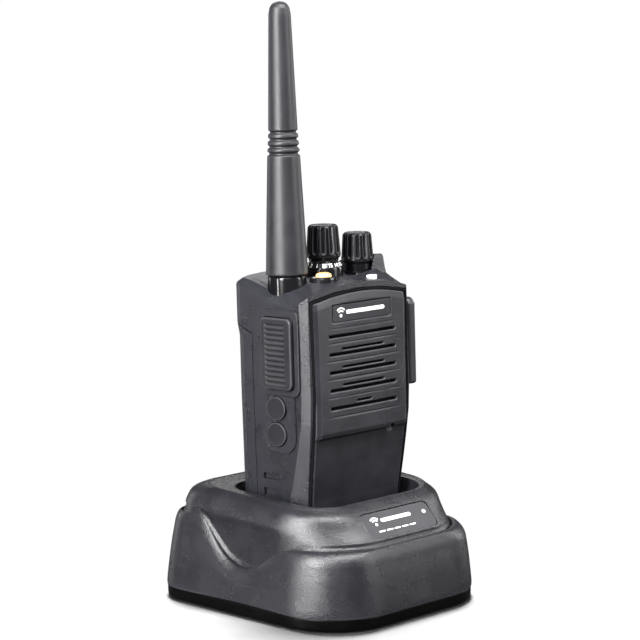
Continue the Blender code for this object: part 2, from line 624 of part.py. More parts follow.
def build_battery(radio):
    battery = build_envelope("battery_pack", "grained_plastic", radio)
    keep = [(SEAM_Y + 0.35, -3.0), (34.0, -3.0), (34.0, 104.6), (SEAM_Y + 0.35, 94.9)]
    combine(battery, prism("battery_keep", keep, (-34.0, 34.0), "X", parent=radio), "INTERSECT")
    spots = []
    for side in (-1, 1):
        x = side * PIN_XY[0]
        spots.append(((x - 2.6, 12.9, -2.0), (x + 2.6, 17.1, 0.9)))
    cut(battery, boxes("contact_recess", spots, radio))
    cut(battery, box("latch_recess", (-9.0, 12.0, 90.0), (9.0, 30.0, 93.6), None, radio))
    for side, word in ((-1, "left"), (1, "right")):
        x = side * PIN_XY[0]
        box("battery_contact_" + word, (x - 2.2, 13.3, 0.15), (x + 2.2, 16.7, 0.6), "gold", radio)
    box("battery_latch", (-8.6, 14.0, 90.35), (8.6, 21.9, 93.25), "smooth_plastic", radio, 0.5, 1)


def build_antenna(radio):
    mount = empty("antenna_axis", (ANTENNA[0], ANTENNA[1], 0.0), (0.0, 0.0, 0.0), radio)
    whip = [(0.0, 227.3), (1.6, 227.0), (3.0, 226.2), (4.0, 224.6), (4.45, 222.0), (5.0, 205.0), (5.85, 177.2)]
    for z, outer in ((175.6, 5.9), (172.7, 6.1), (169.8, 6.3), (167.1, 6.45)):
        whip += [(outer, z + 0.6), (outer - 0.75, z + 0.35), (outer - 0.75, z - 0.35), (outer + 0.06, z - 0.6)]
    whip += [(6.6, 165.5), (7.6, 142.0), (8.4, 121.0), (8.5, 119.0), (8.1, 118.6), (0.0, 118.6)]
    turned("antenna_whip", whip, "soft_rubber", mount, 28)
    collar = [(0.0, 118.25), (7.3, 118.25), (7.75, 117.8), (7.75, 106.9), (7.2, 106.4), (0.0, 106.4)]
    turned("antenna_collar", collar, "gloss_plastic", mount, 28)


def knob_flutes(name, radius, low, high, axis):
    """Twelve upright slots with round lower ends, as one cutter."""
    work = bmesh.new()
    half = 0.85
    arc = [(half * math.cos(math.radians(a)), half * math.sin(math.radians(a))) for a in range(180, 361, 30)]
    outline = [(x, low + half + z) for x, z in arc] + [(half, high), (-half, high)]
    for i in range(12):
        face = work.faces.new([work.verts.new((radius - 0.75, x, z)) for x, z in outline])
        grown = bmesh.ops.extrude_face_region(work, geom=[face])
        moved = [item for item in grown["geom"] if isinstance(item, bmesh.types.BMVert)]
        bmesh.ops.translate(work, vec=(2.0, 0.0, 0.0), verts=moved)
        turn = Matrix.Rotation(2 * math.pi / 12, 3, "Z")
        bmesh.ops.rotate(work, cent=(0.0, 0.0, 0.0), matrix=turn, verts=work.verts)
    return finish_mesh(name, work, None, axis)


def knob(name, centre, low, shoulder, top, radius, radio):
    axis = empty(name + "_axis", (centre[0], centre[1], 0.0), (0.0, 0.0, 0.0), radio)
    profile = [(0.0, top - 0.3), (radius - 1.8, top), (radius - 0.9, top - 0.3), (radius - 0.25, top - 1.2),
               (radius, shoulder + 0.6), (radius - 0.4, shoulder), (5.3, shoulder - 0.3), (5.3, low),
               (3.15, low), (3.15, top - 3.4), (0.0, top - 3.4)]
    body = turned(name, profile, "gloss_plastic", axis, 36)
    cut(body, knob_flutes(name + "_flutes", radius, shoulder + 1.6, top + 2.0, axis))
    return body


def shaft_unit(name, centre, top, half, radio):
    unit = cylinder(name, centre, 2.75, (98.0, top), "Z", "metal", radio, 16)
    x, y = centre
    join(unit, box(name + "_body", (x - half, y - 5.5, 94.5), (x + half, y + 5.5, 101.5), None, radio))
    return unit


def build_top_controls(radio):
    knob("channel_knob", CHANNEL, 119.1, 123.7, 137.2, 6.7, radio)
    shaft_unit("channel_switch", CHANNEL, 132.4, 5.5, radio)
    ring = [(0.0, 118.7), (6.2, 118.7), (7.4, 117.2), (7.5, 115.9), (0.0, 115.9)]
    axis = bpy.data.objects["channel_knob_axis"]
    digits = turned("digit_ring", ring, "smooth_plastic", axis, 28)
    cut(digits, cylinder("digit_ring_way", CHANNEL, 3.2, (110.0, 125.0), parent=radio, count=20))
    knob("volume_knob", VOLUME, 116.1, 120.4, 132.6, 6.5, radio)
    shaft_unit("volume_control", VOLUME, 127.8, 3.9, radio)
    spot = empty("emergency_axis", (EMERGENCY[0], EMERGENCY[1], 0.0), (0.0, 0.0, 0.0), radio)
    bezel = [(4.15, 117.0), (4.6, 117.4), (5.4, 117.1), (5.7, 116.4), (5.7, 114.95), (4.15, 114.95), (4.15, 117.0)]
    ring = turned("emergency_bezel", bezel, "gloss_plastic", spot, 24)
    button = [(0.0, 119.0), (2.2, 118.85), (3.3, 118.4), (3.75, 117.6), (3.75, 111.6), (0.0, 111.6)]
    turned("emergency_button", button, "orange_plastic", spot, 24)
    cylinder("status_lens", LAMP, 2.55, (111.4, 116.2), "Z", "white_lens", radio, 20, 0.7, 0.5)


def build_radio():
    radio = empty("radio_axis", RADIO_FOOT, (-LEAN, 0.0, 0.0))
    build_chassis(radio)
    build_side_buttons(radio)
    build_front(radio)
    build_inside(radio)
    build_battery(radio)
    build_antenna(radio)
    build_top_controls(radio)


build_cradle()
build_radio()
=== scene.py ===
"""The looks of a two-way radio standing in its charging cradle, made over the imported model."""

import json
import math

import bmesh
import bpy
from mathutils import Matrix, Vector

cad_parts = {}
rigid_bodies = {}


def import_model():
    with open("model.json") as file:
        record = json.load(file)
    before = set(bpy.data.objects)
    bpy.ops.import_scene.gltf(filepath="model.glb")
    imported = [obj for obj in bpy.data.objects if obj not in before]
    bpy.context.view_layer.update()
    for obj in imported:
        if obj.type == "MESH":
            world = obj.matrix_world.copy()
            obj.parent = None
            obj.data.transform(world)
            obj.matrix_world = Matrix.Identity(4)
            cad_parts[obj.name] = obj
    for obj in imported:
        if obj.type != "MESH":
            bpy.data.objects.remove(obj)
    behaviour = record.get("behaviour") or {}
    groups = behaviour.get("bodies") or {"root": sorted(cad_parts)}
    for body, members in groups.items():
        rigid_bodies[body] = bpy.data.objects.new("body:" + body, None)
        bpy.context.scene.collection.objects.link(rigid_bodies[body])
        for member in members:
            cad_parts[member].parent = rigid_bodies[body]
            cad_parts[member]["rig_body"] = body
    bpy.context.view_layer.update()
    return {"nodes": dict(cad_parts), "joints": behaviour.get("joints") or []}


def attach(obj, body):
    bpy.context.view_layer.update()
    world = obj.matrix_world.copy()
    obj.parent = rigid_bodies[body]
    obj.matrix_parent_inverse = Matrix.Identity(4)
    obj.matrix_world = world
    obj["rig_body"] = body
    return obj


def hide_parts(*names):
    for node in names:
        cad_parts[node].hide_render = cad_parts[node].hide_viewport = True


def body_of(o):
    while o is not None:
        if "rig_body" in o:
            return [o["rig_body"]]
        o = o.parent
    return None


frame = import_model()
nodes = frame["nodes"]
joints = {joint["name"]: joint for joint in frame["joints"]}

# ---------------------------------------------------------------- driving sizes, mm
MM = 0.001
LIFT_AXIS = joints["radio_lift"]["axis"]
LEAN = math.atan2(LIFT_AXIS[1], LIFT_AXIS[2])
RADIO_FOOT = (0.0, 0.2, 16.4)     # bottom centre of the docked radio
RADIO = Matrix.Translation(Vector(RADIO_FOOT) * MM) @ Matrix.Rotation(-LEAN, 4, "X")
UPRIGHT = Matrix.Rotation(math.radians(90), 4, "X")   # stands a flat outline up, facing the front
CHANNEL = (1.0, -1.4)
VOLUME = (20.3, -1.8)
ANTENNA = (-19.9, -1.4)
EMERGENCY = (-9.0, -11.2)
CHANNELS = 16
PRINT = 0.06                      # printed marks stand this proud
MARK_SIZE = 3.4                   # size of the printed sign
PANEL_FACE_Y = -23.35             # sunk face of the front panel at its badge and scored lines
BADGE_Z = 103.6

LOUVRE_LINES = (97.6, 91.7, 84.5, 77.3, 70.0, 62.2)   # scored lines between the grille slots
LOUVRE_SPAN = (-20.4, 21.4)
LOUVRE_HALF = 0.25
SIDE_LINE_SPAN = (22.6, 23.1)     # the upright line at the right ends of the others

# cradle plans: half width, front y, rear y, front corner radius, rear corner radius
BASE_PLAN = (49.9, -51.65, 51.65, 27.0, 16.5)
GROOVE_PLAN = (45.2, -45.9, 46.6, 30.9, 14.9)
POCKET_FLOOR_PLAN = (32.6, -22.6, 24.2, 10.0, 9.0)
PLAN_TAPER = 0.001                # the plans widen by this share for each mm towards the rear
TRAY_TOP = 6.0
# each level of the tray: inset from the base plan, height
TRAY_STEPS = ((1.1, 0.4), (0.6, 0.8), (0.35, 1.8), (0.25, 5.8))
SKIRT_FOOT = 6.05                 # lowest ring of the skirt, and its share of the base plan
SKIRT_FOOT_SHARE = 0.985
SKIRT_EDGE = 6.3
SKIRT_LEAN = 0.13                 # the skirt leans in by this much for each mm of its height
SKIRT_MIDDLE_LEAN = 0.11
POCKET_FLOOR = 16.1
# each upper level: mid height, slope along y, plan
UPPER_LEVELS = (
    (34.2, 0.03, (43.7, -44.3, 45.1, 30.0, 14.0)),
    (38.7, 0.033, (43.9, -39.8, 45.4, 28.0, 14.0)),
    (43.2, 0.035, (42.0, -35.3, 44.0, 22.0, 14.0)),
    (45.6, 0.035, (39.8, -31.9, 39.8, 20.6, 13.7)),
    (46.25, 0.035, (39.1, -30.7, 37.2, 19.5, 13.3)),
    (46.6, 0.035, (38.6, -30.1, 36.4, 19.0, 12.9)),
    (46.6, 0.035, (38.3, -29.8, 36.1, 18.7, 12.7)),
    (46.4, 0.035, (38.0, -29.55, 35.6, 18.4, 12.5)),
    (46.4, 0.035, (34.4, -28.8, 26.4, 15.0, 11.6)),
    (45.9, 0.035, (33.9, -28.3, 25.9, 14.5, 11.2)),
    (43.5, 0.035, (33.6, -27.6, 25.5, 14.0, 10.9)),
    (37.0, 0.035, (33.3, -25.6, 25.2, 13.0, 10.6)),
)
# skirt top height along the side, from the front to the rear
SWOOP = (
    (-60.0, 31.0), (-40.0, 31.0), (-34.0, 30.8), (-29.5, 30.0), (-24.8, 28.2), (-18.3, 24.6), (-12.0, 21.4),
    (-7.0, 19.9), (-2.0, 19.4), (3.5, 19.9), (8.5, 21.5), (12.4, 23.7), (17.6, 28.0), (21.8, 32.0),
    (25.4, 35.2), (29.0, 36.7), (34.0, 36.9), (60.0, 35.5),
)
# the skirt's rounded lip, from its outer wall over the crest into the groove: share of the way in, height
LIP = (
    (0.0, -6.0), (0.02, -4.6), (0.08, -3.2), (0.24, -1.6),
    (0.5, -0.4), (0.78, 0.0), (0.92, -0.3), (1.0, -1.6),
)
# the bead beyond the groove: distance in from it, height
BEAD = ((0.3, -1.7), (0.5, -0.6), (0.8, 0.1), (1.3, 0.8), (1.5, 1.8))
BEAD_CLEAR = 2.4                  # the upper body starts at least this far above the lip

# label outlines: half width, half height, corner radius
LABEL_RECESS = (19.6, 6.1, 2.6)
LABEL_FILM = (19.25, 5.75, 2.3)
LABEL_FACE = -0.35                # these three are depths from the sloping front face
LABEL_BACK = -1.25
RECESS_FLOOR = -1.6
LABEL_LOW_Y = -44.0               # the slope is measured between these two places
LABEL_HIGH_Y = -35.3
LABEL_SHIFT = (1.0, 0.35, 0.5)
LAMP_SPOT = (15.6, 1.2)

# height and radius of each moulded ring of the antenna
WHIP_RINGS = ((175.6, 5.9), (172.7, 6.1), (169.8, 6.3), (167.1, 6.45))
KNOB_TAPER = 0.05                 # knobs widen this much for each mm down their sides
FLUTES = 12
FLUTE_HALF = 0.95                 # half width of a slot
FLUTE_DEPTH = 0.75
FLUTE_BLEND = 0.3                 # a slot reaches its full depth this far inside its edge
RIM_HEIGHT = 0.14                 # the fine rim round each slot
RIM_OUT = 0.12
RIM_WIDTH = 0.16
RING_LOW = (7.65, 119.6)          # radius and height of the sloping face that carries the numbers
RING_HIGH = (6.35, 121.8)
NUMBER_SPOT = (7.1, 0.0, 120.76)
NUMBER_SIZE = 2.3

# ---------------------------------------------------------------- studio settings, metres and degrees
VIEW_AZIMUTH = -45.0
VIEW_ELEVATION = 8.7
VIEW_DISTANCE = 0.960
VIEW_TARGET = (0.0, 0.0046, 0.1142)
FOCAL_LENGTH = 132.19
SENSOR_WIDTH = 36.0
LIGHT_TARGET = (0.0, 0.0, 0.08)
# name, azimuth, elevation, distance, width, height, power
SOFTBOXES = (
    ("key_light", -80.0, 28.0, 1.3, 0.40, 1.2, 52.0),
    ("strip_light", -103.0, 3.0, 1.2, 0.07, 0.9, 9.5),
    ("rim_light", -172.0, 6.0, 1.2, 0.2, 0.6, 1.5),
    ("fill_light", -40.0, 30.0, 1.4, 0.8, 0.6, 3.0),
    ("side_light", 32.0, 25.0, 1.2, 0.3, 0.9, 8.0),
    ("right_light", 80.0, 22.0, 1.2, 0.25, 1.0, 5.0),
    ("top_light", -8.0, 66.0, 1.2, 1.1, 0.25, 26.0),
    ("back_light", 140.0, 36.0, 1.3, 0.5, 0.3, 2.5),
)

# sockets of the colour mix node
MIX_FACTOR, MIX_FIRST, MIX_SECOND, MIX_RESULT = 0, 6, 7, 2
CLOUD_SCALE = 90.0                # size of the slow changes in colour and gloss
EDGE_HIGHLIGHT_AND_WEAR_LIFT = (0.12, 0.12, 0.13)    # full edge wear and painted edge highlight add this much to a colour


# ---------------------------------------------------------------- materials
def new_material(name):
    material = bpy.data.materials.new(name)
    material.use_nodes = True
    return material, material.node_tree, material.node_tree.nodes["Principled BSDF"]


def add_noise(tree, scale, detail=3.0, roughness=0.55):
    coords = tree.nodes.new("ShaderNodeTexCoord")
    noise = tree.nodes.new("ShaderNodeTexNoise")
    noise.inputs["Scale"].default_value = scale
    noise.inputs["Detail"].default_value = detail
    noise.inputs["Roughness"].default_value = roughness
    tree.links.new(coords.outputs["Object"], noise.inputs["Vector"])
    return noise


def ramp(tree, source, low, high, from_min=0.3, from_max=0.7):
    """Maps a factor to a value range."""
    spread = tree.nodes.new("ShaderNodeMapRange")
    spread.inputs["From Min"].default_value = from_min
    spread.inputs["From Max"].default_value = from_max
    spread.inputs["To Min"].default_value = low
    spread.inputs["To Max"].default_value = high
    tree.links.new(source, spread.inputs["Value"])
    return spread.outputs["Result"]


def colour_mix(tree, factor, first, second):
    mix = tree.nodes.new("ShaderNodeMix")
    mix.data_type = "RGBA"
    mix.inputs[MIX_FIRST].default_value = (*first, 1.0)
    mix.inputs[MIX_SECOND].default_value = (*second, 1.0)
    tree.links.new(factor, mix.inputs[MIX_FACTOR])
    return mix


def edge_factor(tree, low=0.5, high=0.56):
    """High on outer edges, from the curvature of the mesh."""
    geometry = tree.nodes.new("ShaderNodeNewGeometry")
    return ramp(tree, geometry.outputs["Pointiness"], 0.0, 1.0, low, high)


def add_bump(tree, shader, height, distance, strength, before=None):
    bump = tree.nodes.new("ShaderNodeBump")
    bump.inputs["Distance"].default_value = distance * MM
    bump.inputs["Strength"].default_value = strength
    tree.links.new(height, bump.inputs["Height"])
    if before:
        tree.links.new(before.outputs["Normal"], bump.inputs["Normal"])
    tree.links.new(bump.outputs["Normal"], shader.inputs["Normal"])
    return bump


def add_cells(tree, scale):
    """Small round cells, as in leather-grained moulding."""
    coords = tree.nodes.new("ShaderNodeTexCoord")
    cells = tree.nodes.new("ShaderNodeTexVoronoi")
    cells.feature = "SMOOTH_F1"
    cells.inputs["Scale"].default_value = scale
    cells.inputs["Smoothness"].default_value = 0.6
    tree.links.new(coords.outputs["Object"], cells.inputs["Vector"])
    return cells


def plastic(name, dark, light, rough, grain, depth, edge=0.25, gloss=0.5, cells=False):
    """Moulded plastic: cloudy colour, uneven gloss, fine grain, and paler outer edges that are a painted
    highlight with some wear.
    """
    material, tree, shader = new_material(name)
    clouds = add_noise(tree, CLOUD_SCALE)
    body = colour_mix(tree, ramp(tree, clouds.outputs["Fac"], 0.0, 1.0), dark, light)
    # outer edges, found from the mesh's curvature, are paled: a painted edge highlight that also stands for
    # some wear
    highlight_and_wear_colour = [level + edge * lift for level, lift in zip(light, EDGE_HIGHLIGHT_AND_WEAR_LIFT)]
    edge_highlight_and_wear = colour_mix(tree, edge_factor(tree), dark, highlight_and_wear_colour)
    tree.links.new(body.outputs[MIX_RESULT], edge_highlight_and_wear.inputs[MIX_FIRST])
    tree.links.new(edge_highlight_and_wear.outputs[MIX_RESULT], shader.inputs["Base Color"])
    uneven = ramp(tree, clouds.outputs["Fac"], low=rough - 0.04, high=rough + 0.05)
    tree.links.new(uneven, shader.inputs["Roughness"])
    shader.inputs["Specular IOR Level"].default_value = gloss
    fine = add_noise(tree, scale=grain * 1.7, detail=2.0, roughness=0.6)
    first = add_bump(tree, shader, fine.outputs["Fac"], distance=depth, strength=0.7)
    if cells:
        pebbles = add_cells(tree, grain).outputs["Distance"]
        add_bump(tree, shader, pebbles, distance=depth * 0.8, strength=0.8, before=first)
    return material


def metal(name, colour, rough, grain=600.0):
    """Bare metal with faint marks in its colour and gloss."""
    material, tree, shader = new_material(name)
    marks = add_noise(tree, scale=grain, detail=4.0)
    darker = tuple(level * 0.8 for level in colour)
    mix = colour_mix(tree, marks.outputs["Fac"], darker, colour)
    tree.links.new(mix.outputs[MIX_RESULT], shader.inputs["Base Color"])
    uneven = ramp(tree, marks.outputs["Fac"], low=rough - 0.06, high=rough + 0.08)
    tree.links.new(uneven, shader.inputs["Roughness"])
    shader.inputs["Metallic"].default_value = 1.0
    add_bump(tree, shader, marks.outputs["Fac"], distance=0.02, strength=0.3)
    return material


# each edge value sets how much painted highlight, with some wear, pales a material's outer edges
GRAIN = plastic("grained_plastic", (0.009, 0.009, 0.011), (0.013, 0.013, 0.016), rough=0.27,
                grain=1700.0, depth=0.13, edge=0.08, cells=True)
FINE_GRAIN = plastic("fine_grained_plastic", (0.009, 0.009, 0.012), (0.013, 0.013, 0.017), rough=0.29,
                     grain=2200.0, depth=0.15, edge=0.0, cells=True)
SATIN = plastic("satin_plastic", (0.011, 0.011, 0.014), (0.017, 0.017, 0.021), rough=0.36,
                grain=1500.0, depth=0.10)
BLACK = plastic("gloss_black", (0.003, 0.003, 0.004), (0.006, 0.006, 0.007), rough=0.14,
                grain=500.0, depth=0.02, edge=0.0, gloss=0.45)
KNOB = plastic("knob_plastic", (0.002, 0.002, 0.003), (0.004, 0.004, 0.005), rough=0.22,
               grain=900.0, depth=0.03, gloss=0.22)
TRAY = plastic("tray_plastic", (0.001, 0.001, 0.001), (0.002, 0.002, 0.002), rough=0.36,
               grain=900.0, depth=0.06, edge=0.0, gloss=0.08)
RUBBER = plastic("key_rubber", (0.006, 0.006, 0.008), (0.010, 0.010, 0.012), rough=0.5,
                 grain=1800.0, depth=0.10, edge=0.5, gloss=0.35)
WHIP = plastic("whip_rubber", (0.012, 0.012, 0.014), (0.017, 0.017, 0.020), rough=0.37,
               grain=1700.0, depth=0.10, edge=0.1, gloss=0.42)
LABEL = plastic("label_film", (0.020, 0.020, 0.024), (0.026, 0.026, 0.030), rough=0.36,
                grain=2500.0, depth=0.03)
ORANGE = plastic("orange_cap", (0.72, 0.36, 0.11), (0.90, 0.58, 0.24), rough=0.3,
                 grain=900.0, depth=0.03, edge=0.6)
WHITE = plastic("white_print", (0.82, 0.82, 0.80), (0.90, 0.90, 0.88), rough=0.45,
                grain=2500.0, depth=0.01, edge=0.0)
LENS = plastic("clear_lens", (0.84, 0.85, 0.84), (0.94, 0.95, 0.94), rough=0.12,
               grain=700.0, depth=0.02, edge=0.0)
LAMP = plastic("unlit_lamp", (0.34, 0.34, 0.33), (0.42, 0.42, 0.41), rough=0.2,
               grain=900.0, depth=0.02, edge=0.0)
STEEL = metal("plated_steel", (0.56, 0.56, 0.55), rough=0.3)
GOLD = metal("gold_contact", (0.83, 0.62, 0.26), rough=0.25)
CLOTH = plastic("speaker_cloth", (0.003, 0.003, 0.003), (0.006, 0.006, 0.006), rough=0.9,
                grain=2400.0, depth=0.3, edge=0.0, gloss=0.1)
BOARD = plastic("circuit_board", (0.012, 0.10, 0.045), (0.02, 0.16, 0.07), rough=0.4,
                grain=800.0, depth=0.05, edge=0.0)


def paint(obj, material):
    obj.data.materials.clear()
    obj.data.materials.append(material)


# ---------------------------------------------------------------- mesh helpers
def put(name, data):
    """A new object in the scene."""
    obj = bpy.data.objects.new(name, data)
    bpy.context.scene.collection.objects.link(obj)
    return obj


def show(name, mesh, material, body, replaced=()):
    """A finished piece that moves with a body and may stand in for some of its CAD nodes."""
    obj = put(name, mesh)
    paint(obj, material)
    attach(obj, body)
    if replaced:
        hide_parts(*replaced)
    return obj


def mesh_from(work, name, matrix=None, smooth=True):
    bmesh.ops.recalc_face_normals(work, faces=work.faces)
    bmesh.ops.scale(work, vec=(MM, MM, MM), verts=work.verts)
    if matrix is not None:
        bmesh.ops.transform(work, matrix=matrix, verts=work.verts)
    mesh = bpy.data.meshes.new(name)
    work.to_mesh(mesh)
    work.free()
    if smooth:
        mesh.shade_smooth()
    return mesh


def add_cuts(obj, tools):
    """Cuts each tool out of an object. Gives back the helper objects that hold the tools."""
    helpers = [put("tool", tool) for tool in tools]
    for helper in helpers:
        change = obj.modifiers.new("cut", "BOOLEAN")
        change.operation = "DIFFERENCE"
        change.solver = "EXACT"
        change.object = helper
    return helpers


def baked(obj, helpers=()):
    """The mesh that an object's modifiers make. The object and its helpers are removed."""
    graph = bpy.context.evaluated_depsgraph_get()
    result = bpy.data.meshes.new_from_object(obj.evaluated_get(graph))
    for spare in [obj, *helpers]:
        bpy.data.objects.remove(spare)
    return result


def smooth_below(mesh, angle):
    """Shades a mesh smooth, but for edges that bend by more than the angle."""
    mesh.shade_smooth()
    mesh.set_sharp_from_angle(angle=math.radians(angle))


def moulded(mesh, voxel, passes, tools=()):
    """Cuts a closed mesh, then rounds every edge a little, as a moulded part has them."""
    obj = put("mould", mesh)
    helpers = add_cuts(obj, tools)
    remesh = obj.modifiers.new("remesh", "REMESH")
    remesh.mode = "VOXEL"
    remesh.voxel_size = voxel * MM
    remesh.use_smooth_shade = True
    relax = obj.modifiers.new("relax", "SMOOTH")
    relax.factor = 0.5
    relax.iterations = passes
    result = baked(obj, helpers)
    result.shade_smooth()
    return result


def cut(mesh, tools):
    """Takes the tools out of a closed mesh, keeping its smooth surfaces and crisp cut edges."""
    obj = put("cut", mesh)
    result = baked(obj, add_cuts(obj, tools))
    smooth_below(result, 50.0)
    return result


def bevelled(mesh, width, angle=35.0):
    """A mesh with every edge that bends by more than the angle rounded narrowly."""
    obj = put("bevelled", mesh)
    bevel = obj.modifiers.new("bevel", "BEVEL")
    bevel.limit_method = "ANGLE"
    bevel.angle_limit = math.radians(angle)
    bevel.width = width * MM
    bevel.segments = 2
    bevel.miter_outer = "MITER_ARC"
    result = baked(obj)
    smooth_below(result, angle)
    return result


def catmull(a, b, c, d, t):
    """The value a share t of the way from b to c, on a smooth curve through all four."""
    square = 2 * a - 5 * b + 4 * c - d
    cube = 3 * b - a - 3 * c + d
    return 0.5 * (2 * b + (c - a) * t + square * t * t + cube * t ** 3)


def ease(t):
    """A share from 0 to 1 that starts and ends gently."""
    return t * t * (3 - 2 * t)


def blend(table, at):
    """A smooth curve through (position, value) pairs."""
    last = len(table) - 1
    for i in range(last):
        if at <= table[i + 1][0] or i == last - 1:
            before = table[max(i - 1, 0)][1]
            after = table[min(i + 2, last)][1]
            t = (at - table[i][0]) / (table[i + 1][0] - table[i][0])
            return catmull(before, table[i][1], table[i + 1][1], after, min(max(t, 0.0), 1.0))


def spread_rings(rings, steps):
    """More rings between the given ones, along smooth curves."""
    made = []
    last = len(rings) - 1
    for i in range(last):
        four = [rings[max(i - 1, 0)], rings[i], rings[i + 1], rings[min(i + 2, last)]]
        for k in range(steps):
            ring = []
            for points in zip(*four):
                ring.append(tuple(catmull(*values, k / steps) for values in zip(*points)))
            made.append(ring)
    return made + [rings[-1]]


def loft(rings):
    """A closed skin through rings of equal point count, capped at both ends."""
    work = bmesh.new()
    levels = [[work.verts.new(p) for p in ring] for ring in rings]
    work.faces.new(levels[0])
    work.faces.new(levels[-1])
    count = len(rings[0])
    for low, high in zip(levels, levels[1:]):
        for i in range(count):
            work.faces.new((low[i], low[(i + 1) % count], high[(i + 1) % count], high[i]))
    return work


def rounded_rect(half_x, half_y, radius, count=9):
    """A rectangle about the origin with rounded corners."""
    points = []
    for sx, sy, start in ((1, 1, 0), (-1, 1, 90), (-1, -1, 180), (1, -1, 270)):
        for i in range(count):
            a = math.radians(start + 90 * i / (count - 1))
            points.append((sx * (half_x - radius) + radius * math.cos(a),
                           sy * (half_y - radius) + radius * math.sin(a)))
    return points


def slab(outline, low, high, matrix=None):
    """An outline in a plane, extruded from low to high."""
    work = bmesh.new()
    face = work.faces.new([work.verts.new((x, y, low)) for x, y in outline])
    grown = bmesh.ops.extrude_face_region(work, geom=[face])
    moved = [item for item in grown["geom"] if isinstance(item, bmesh.types.BMVert)]
    bmesh.ops.translate(work, vec=(0.0, 0.0, high - low), verts=moved)
    return mesh_from(work, "slab", matrix, smooth=False)


def fillet(points, radius, steps=4):
    """An open outline with each inner corner rounded by up to this radius."""
    made = [points[0]]
    for before, corner, after in zip(points, points[1:], points[2:]):
        before, corner, after = Vector(before), Vector(corner), Vector(after)
        reach = [min(radius, (end - corner).length * 0.45) for end in (before, after)]
        start = corner + (before - corner).normalized() * reach[0]
        stop = corner + (after - corner).normalized() * reach[1]
        for i in range(steps + 1):
            t = i / steps
            made.append(tuple(start.lerp(corner, t).lerp(corner.lerp(stop, t), t)))
    return made + [points[-1]]


def resample(points, step):
    """The same outline with no stretch longer than step."""
    made = [points[0]]
    for a, b in zip(points, points[1:]):
        count = max(1, math.ceil(math.dist(a, b) / step))
        made += [tuple(p + (q - p) * i / count for p, q in zip(a, b)) for i in range(1, count + 1)]
    return made


def lathe(profile, name, matrix, columns=96, shape=None):
    """A turned mesh. Its profile starts and ends on the axis, and shape may push the surface in or out."""
    work = bmesh.new()
    rings = []
    for r, z in profile[1:-1]:
        ring = []
        for i in range(columns):
            a = 2 * math.pi * i / columns
            reach = shape(r, z, a) if shape else r
            ring.append(work.verts.new((reach * math.cos(a), reach * math.sin(a), z)))
        rings.append(ring)
    for ring, (_, z) in ((rings[0], profile[0]), (rings[-1], profile[-1])):
        tip = work.verts.new((0.0, 0.0, z))
        for i in range(columns):
            work.faces.new((tip, ring[i], ring[(i + 1) % columns]))
    for above, below in zip(rings, rings[1:]):
        for i in range(columns):
            j = (i + 1) % columns
            work.faces.new((above[i], above[j], below[j], below[i]))
    return mesh_from(work, name, matrix)


def merged(meshes, name):
    """Several meshes made one."""
    work = bmesh.new()
    for mesh in meshes:
        work.from_mesh(mesh)
    result = bpy.data.meshes.new(name)
    work.to_mesh(result)
    work.free()
    return result


def arc_band(centre, inner, outer, first, last, steps=14):
    """The outline of a bent bar."""
    angles = [math.radians(first + (last - first) * i / steps) for i in range(steps + 1)]
    there = [(centre[0] + outer * math.cos(a), centre[1] + outer * math.sin(a)) for a in angles]
    back = [(centre[0] + inner * math.cos(a), centre[1] + inner * math.sin(a)) for a in reversed(angles)]
    return there + back


def offset(outline, dx, dy):
    return [(x + dx, y + dy) for x, y in outline]

def shift(x, y, z):
    return Matrix.Translation(Vector((x, y, z)) * MM)


def printed_mark(size, bars, low, matrix):
    """A plain printed sign: a dot that sends out waves, and bars given as centre and half sizes."""
    dot = rounded_rect(size * 0.2, size * 0.2, size * 0.199)
    dot_y = -size * 0.3
    outlines = [offset(dot, 0.0, dot_y)]
    for reach in (0.48, 0.80):
        outlines.append(arc_band((0.0, dot_y), size * reach, size * (reach + 0.16), 45.0, 135.0))
    outlines += [offset(rounded_rect(half_x, half_y, half_y * 0.95), x, y) for x, y, half_x, half_y in bars]
    return merged([slab(outline, low, low + PRINT, matrix) for outline in outlines], "printed_mark")


# ---------------------------------------------------------------- cradle
def plan_ring(plan, corner=20, side=44, flat=14):
    """Points round one plan, front centre first, the same count for every plan."""
    half, front, rear, r_front, r_rear = plan
    right = [((half - r_front) * i / flat, front) for i in range(flat)]
    for i in range(corner):
        a = math.radians(-90 + 90 * i / (corner - 1))
        right.append((half - r_front + r_front * math.cos(a), front + r_front + r_front * math.sin(a)))
    low = front + r_front
    high = rear - r_rear
    right += [(half, low + (high - low) * (i + 1) / (side + 1)) for i in range(side)]
    for i in range(corner):
        a = math.radians(90 * i / (corner - 1))
        right.append((half - r_rear + r_rear * math.cos(a), rear - r_rear + r_rear * math.sin(a)))
    right += [((half - r_rear) * (1 - i / flat), rear) for i in range(1, flat)]
    right = [(x * (1.0 + PLAN_TAPER * y), y) for x, y in right]
    return right + [(0.0, rear)] + [(-x, y) for x, y in reversed(right[1:])]


def shrink(plan, by):
    half, front, rear, r_front, r_rear = plan
    return (half - by, front + by, rear - by, r_front - by, r_rear - by)

def lip_ring(share, height):
    """A ring of the skirt's lip, this share of the way from the outer wall to the groove."""
    ring = []
    groove = plan_ring(GROOVE_PLAN)
    for i, (x, y) in enumerate(plan_ring(BASE_PLAN)):
        top = blend(SWOOP, y)
        low = top + min(height, -1.0)
        wx, wy = plan_ring(shrink(BASE_PLAN, SKIRT_LEAN * (low - TRAY_TOP)))[i]
        gx, gy = groove[i]
        ring.append((wx + (gx - wx) * share, wy + (gy - wy) * share, top + height))
    return ring


def middle_ring():
    """The ring half way up the skirt."""
    ring = []
    for i, (x, y) in enumerate(plan_ring(BASE_PLAN)):
        z = TRAY_TOP + 0.5 * (blend(SWOOP, y) - TRAY_TOP)
        px, py = plan_ring(shrink(BASE_PLAN, SKIRT_MIDDLE_LEAN * (z - TRAY_TOP)))[i]
        ring.append((px, py, z))
    return ring


def bead_ring(inward, height):
    return [(x, y, blend(SWOOP, y) + height) for x, y in plan_ring(shrink(GROOVE_PLAN, inward))]


